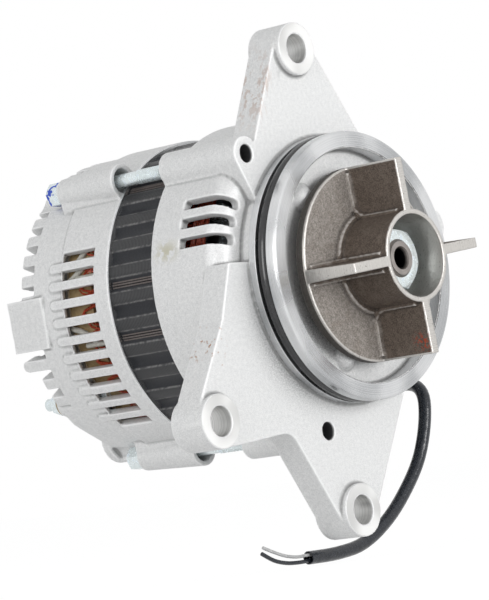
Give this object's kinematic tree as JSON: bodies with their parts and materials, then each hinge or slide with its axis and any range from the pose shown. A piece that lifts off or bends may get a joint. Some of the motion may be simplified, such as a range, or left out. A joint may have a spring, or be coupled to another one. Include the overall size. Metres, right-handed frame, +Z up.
{
  "type": "alternator",
  "caption": "Flange-mounted alternator with slotted aluminium end castings, exposed stator core, vaned drive coupling and a sleeved output lead.",
  "frame": {"origin": "on the rotor axis in the plane of the mounting flange face, at the root of the pilot", "axes": "drive end towards -Y, rear towards +Y, +Z up with the single upper ear at the top, +X to the right seen from the drive end"},
  "size_m": [0.1498, 0.1499, 0.1894],
  "materials": {
    "cast_aluminium": "shot-blasted casting with machined faces",
    "plate_aluminium": "stamped plate",
    "bearing_steel": "ground",
    "shaft_steel": "turned",
    "pole_steel": "forged and turned",
    "zinc_steel": "bright zinc plated",
    "plated_steel": "nickel plated",
    "lamination_steel": "black varnished laminations",
    "coupling_iron": "sand cast with machined edges",
    "varnished_copper": "red varnished wire",
    "slip_ring_copper": "turned copper",
    "lead_sleeving": "woven sleeving",
    "tan_plastic": "moulded resin",
    "black_plastic": "moulded resin",
    "carbon": "pressed carbon",
    "black_rubber": "smooth",
    "black_sleeve": "glossy vinyl",
    "white_insulation": "glossy vinyl"
  },
  "bodies": {
    "housing": {"front_frame": "cast_aluminium", "pilot_o_ring": "black_rubber", "front_bearing_outer_race": "bearing_steel", "bearing_retainer_plate": "zinc_steel", "retainer_screws": "zinc_steel", "stator_core": "lamination_steel", "stator_winding": "varnished_copper", "slot_wedges": "tan_plastic", "stator_leads": "lead_sleeving", "rear_frame": "cast_aluminium", "rear_bearing_outer_race": "bearing_steel", "through_bolts": "zinc_steel", "rectifier_negative_plate": "plate_aluminium", "rectifier_positive_plate": "plate_aluminium", "rectifier_diodes": "plated_steel", "rectifier_spacers": "tan_plastic", "rectifier_screws": "zinc_steel", "rectifier_terminal_block": "tan_plastic", "brush_holder": "black_plastic", "brush_holder_cap": "black_plastic", "brush_holder_screws": "zinc_steel", "brush_spring_1": "plated_steel", "brush_spring_2": "plated_steel", "voltage_regulator": "black_plastic", "regulator_screws": "zinc_steel", "output_stud": "zinc_steel", "output_insulator": "tan_plastic", "output_nut": "zinc_steel", "harness_grommet": "black_rubber", "harness_sleeve": "black_sleeve", "harness_wire_1": "white_insulation", "harness_wire_2": "black_sleeve"},
    "rotor": {"rotor_shaft": "shaft_steel", "rotor_pole_front": "pole_steel", "rotor_pole_rear": "pole_steel", "coil_bobbin": "tan_plastic", "field_coil": "varnished_copper", "front_fan": "zinc_steel", "rear_fan": "zinc_steel", "shaft_spacer": "shaft_steel", "slip_ring_sleeve": "black_plastic", "slip_rings": "slip_ring_copper", "front_bearing_inner_race": "bearing_steel", "rear_bearing_inner_race": "bearing_steel", "drive_coupling": "coupling_iron", "coupling_washer": "zinc_steel", "coupling_nut": "zinc_steel", "shaft_key": "shaft_steel"},
    "front_ball_set": {"front_bearing_balls": "bearing_steel", "front_bearing_cage": "bearing_steel"},
    "rear_ball_set": {"rear_bearing_balls": "bearing_steel", "rear_bearing_cage": "bearing_steel"},
    "first_brush": {"brush_1": "carbon"},
    "second_brush": {"brush_2": "carbon"}
  },
  "joints": [
    {"name": "rotor_spin", "type": "hinge", "parent": "housing", "child": "rotor", "pos_m": [0, 0, 0], "axis": [0, -1, 0], "continuous": true},
    {"name": "front_cage_spin", "type": "hinge", "parent": "housing", "child": "front_ball_set", "pos_m": [0, 0, 0], "axis": [0, -1, 0], "continuous": true},
    {"name": "rear_cage_spin", "type": "hinge", "parent": "housing", "child": "rear_ball_set", "pos_m": [0, 0, 0], "axis": [0, -1, 0], "continuous": true},
    {"name": "brush_1_slide", "type": "slide", "parent": "housing", "child": "first_brush", "axis": [0, 0, 1], "range_m": [0, 0.004], "stiffness_N_per_m": 300, "springref_m": -0.008, "deforming": ["brush_spring_1"]},
    {"name": "brush_2_slide", "type": "slide", "parent": "housing", "child": "second_brush", "axis": [0, 0, 1], "range_m": [0, 0.004], "stiffness_N_per_m": 300, "springref_m": -0.008, "deforming": ["brush_spring_2"]}
  ],
  "couplings": [
    {"joint": "front_cage_spin", "follows": "rotor_spin", "ratio": 0.359},
    {"joint": "rear_cage_spin", "follows": "rotor_spin", "ratio": 0.38}
  ]
}
